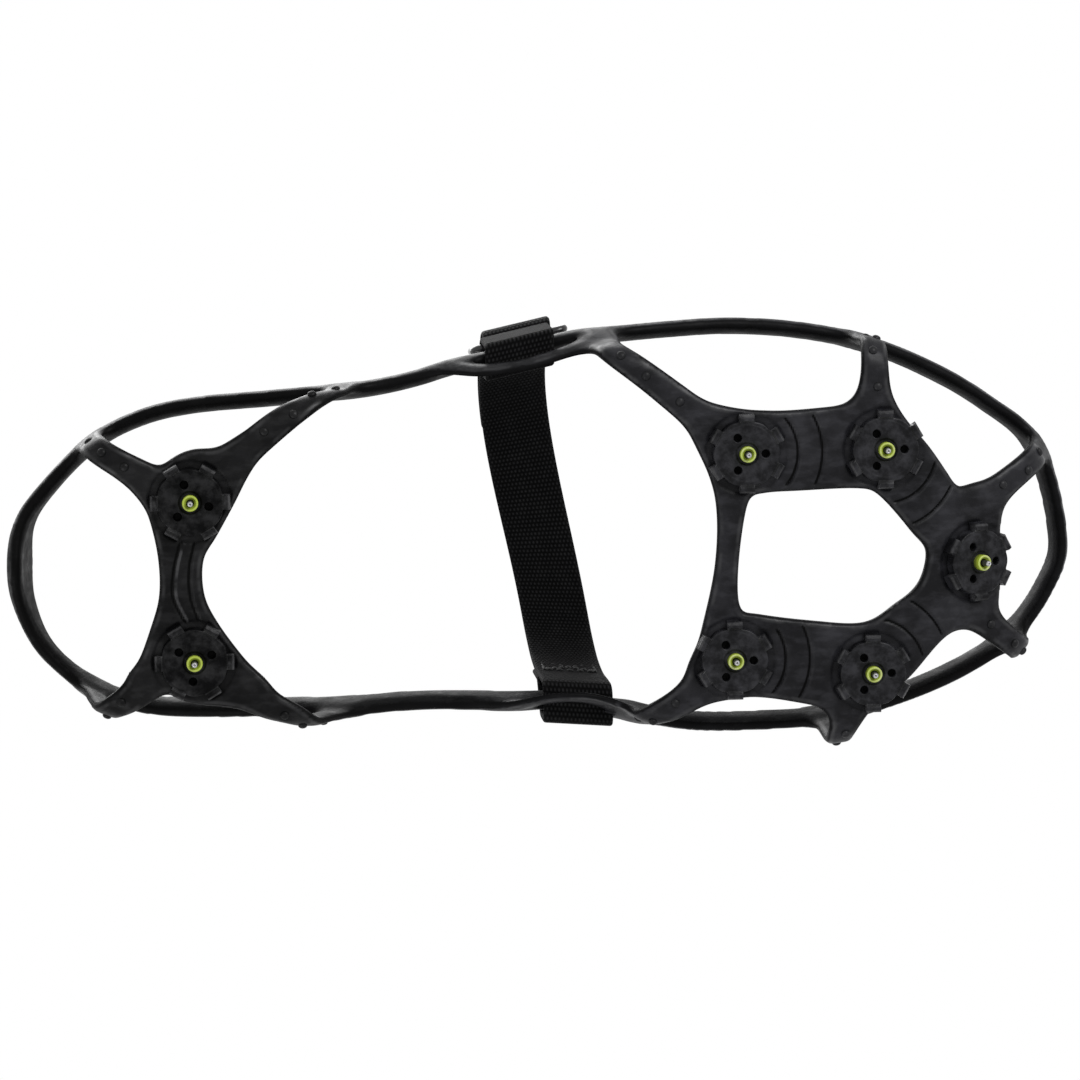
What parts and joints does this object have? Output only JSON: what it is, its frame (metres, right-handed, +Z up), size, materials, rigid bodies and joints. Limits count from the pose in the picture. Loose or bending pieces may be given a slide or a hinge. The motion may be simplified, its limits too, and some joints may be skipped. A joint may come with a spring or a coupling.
{
  "type": "shoe ice cleat",
  "caption": "Slip-on ice cleat for a shoe: an elastic rubber harness with studded tread pads under forefoot and heel and a hook-and-loop instep strap.",
  "frame": {"origin": "middle of the bounding box, on the ground that the stud tips stand on", "axes": "+X from heel to toe, +Y to the inner side of the foot, +Z up from the ground to the foot"},
  "size_m": [0.3072, 0.1202, 0.096],
  "materials": {
    "harness_rubber": "satin moulded elastomer, slightly mottled",
    "tread_rubber": "harder matt moulded elastomer",
    "lime_sleeve": "yellow-green anodised",
    "carbide": "ground, bright tip",
    "washer_steel": "plated",
    "webbing": "woven nylon",
    "loop_pile": "looped pile",
    "hook_plastic": "moulded hooks",
    "ring_plastic": "glossy acetal"
  },
  "bodies": {
    "harness_front": {"forefoot_web": "harness_rubber", "rim_toe": "harness_rubber", "side_bar_outer": "harness_rubber", "side_bar_inner": "harness_rubber", "stretch_band_outer": "harness_rubber", "stretch_band_inner": "harness_rubber", "stringer_outer": "harness_rubber", "stringer_inner": "harness_rubber", "arm_toe_outer": "harness_rubber", "arm_ball_outer": "harness_rubber", "arm_instep_outer": "harness_rubber", "arm_toe_inner": "harness_rubber", "arm_ball_inner": "harness_rubber", "arm_instep_inner": "harness_rubber", "stud_pad_outer_rear": "tread_rubber", "stud_pad_inner_rear": "tread_rubber", "stud_pad_outer_front": "tread_rubber", "stud_pad_inner_front": "tread_rubber", "stud_pad_toe": "tread_rubber", "stud_sleeve_outer_rear": "lime_sleeve", "stud_sleeve_inner_rear": "lime_sleeve", "stud_sleeve_outer_front": "lime_sleeve", "stud_sleeve_inner_front": "lime_sleeve", "stud_sleeve_toe": "lime_sleeve", "carbide_pin_outer_rear": "carbide", "carbide_pin_inner_rear": "carbide", "carbide_pin_outer_front": "carbide", "carbide_pin_inner_front": "carbide", "carbide_pin_toe": "carbide", "backing_washer_outer_rear": "washer_steel", "backing_washer_inner_rear": "washer_steel", "backing_washer_outer_front": "washer_steel", "backing_washer_inner_front": "washer_steel", "backing_washer_toe": "washer_steel", "strap_anchor": "webbing", "instep_strap": "webbing", "loop_patch": "loop_pile"},
    "heel_half": {"heel_web": "harness_rubber", "rim_heel": "harness_rubber", "arm_heel_front_outer": "harness_rubber", "arm_heel_rear_outer": "harness_rubber", "arm_heel_front_inner": "harness_rubber", "arm_heel_rear_inner": "harness_rubber", "stud_pad_outer_heel": "tread_rubber", "stud_pad_inner_heel": "tread_rubber", "stud_sleeve_outer_heel": "lime_sleeve", "stud_sleeve_inner_heel": "lime_sleeve", "carbide_pin_outer_heel": "carbide", "carbide_pin_inner_heel": "carbide", "backing_washer_outer_heel": "washer_steel", "backing_washer_inner_heel": "washer_steel"},
    "ring": {"strap_ring": "ring_plastic"},
    "closing_tab": {"strap_tab": "webbing", "hook_patch": "hook_plastic"}
  },
  "joints": [
    {"name": "heel_stretch", "type": "slide", "parent": "harness_front", "child": "heel_half", "axis": [-1, 0, 0], "range_m": [0, 0.02], "stiffness_N_per_m": 1500, "deforming": ["stretch_band_outer", "stretch_band_inner"]},
    {"name": "ring_swing", "type": "hinge", "parent": "harness_front", "child": "ring", "pos_m": [-0.0055, -0.05411, 0.04698], "axis": [0.9776, -0.2104, 0], "range_deg": [-6, 6]},
    {"name": "tab_peel", "type": "hinge", "parent": "harness_front", "child": "closing_tab", "pos_m": [-0.0055, -0.05781, 0.06198], "axis": [0.9776, -0.2104, 0], "range_deg": [0, 115]}
  ]
}
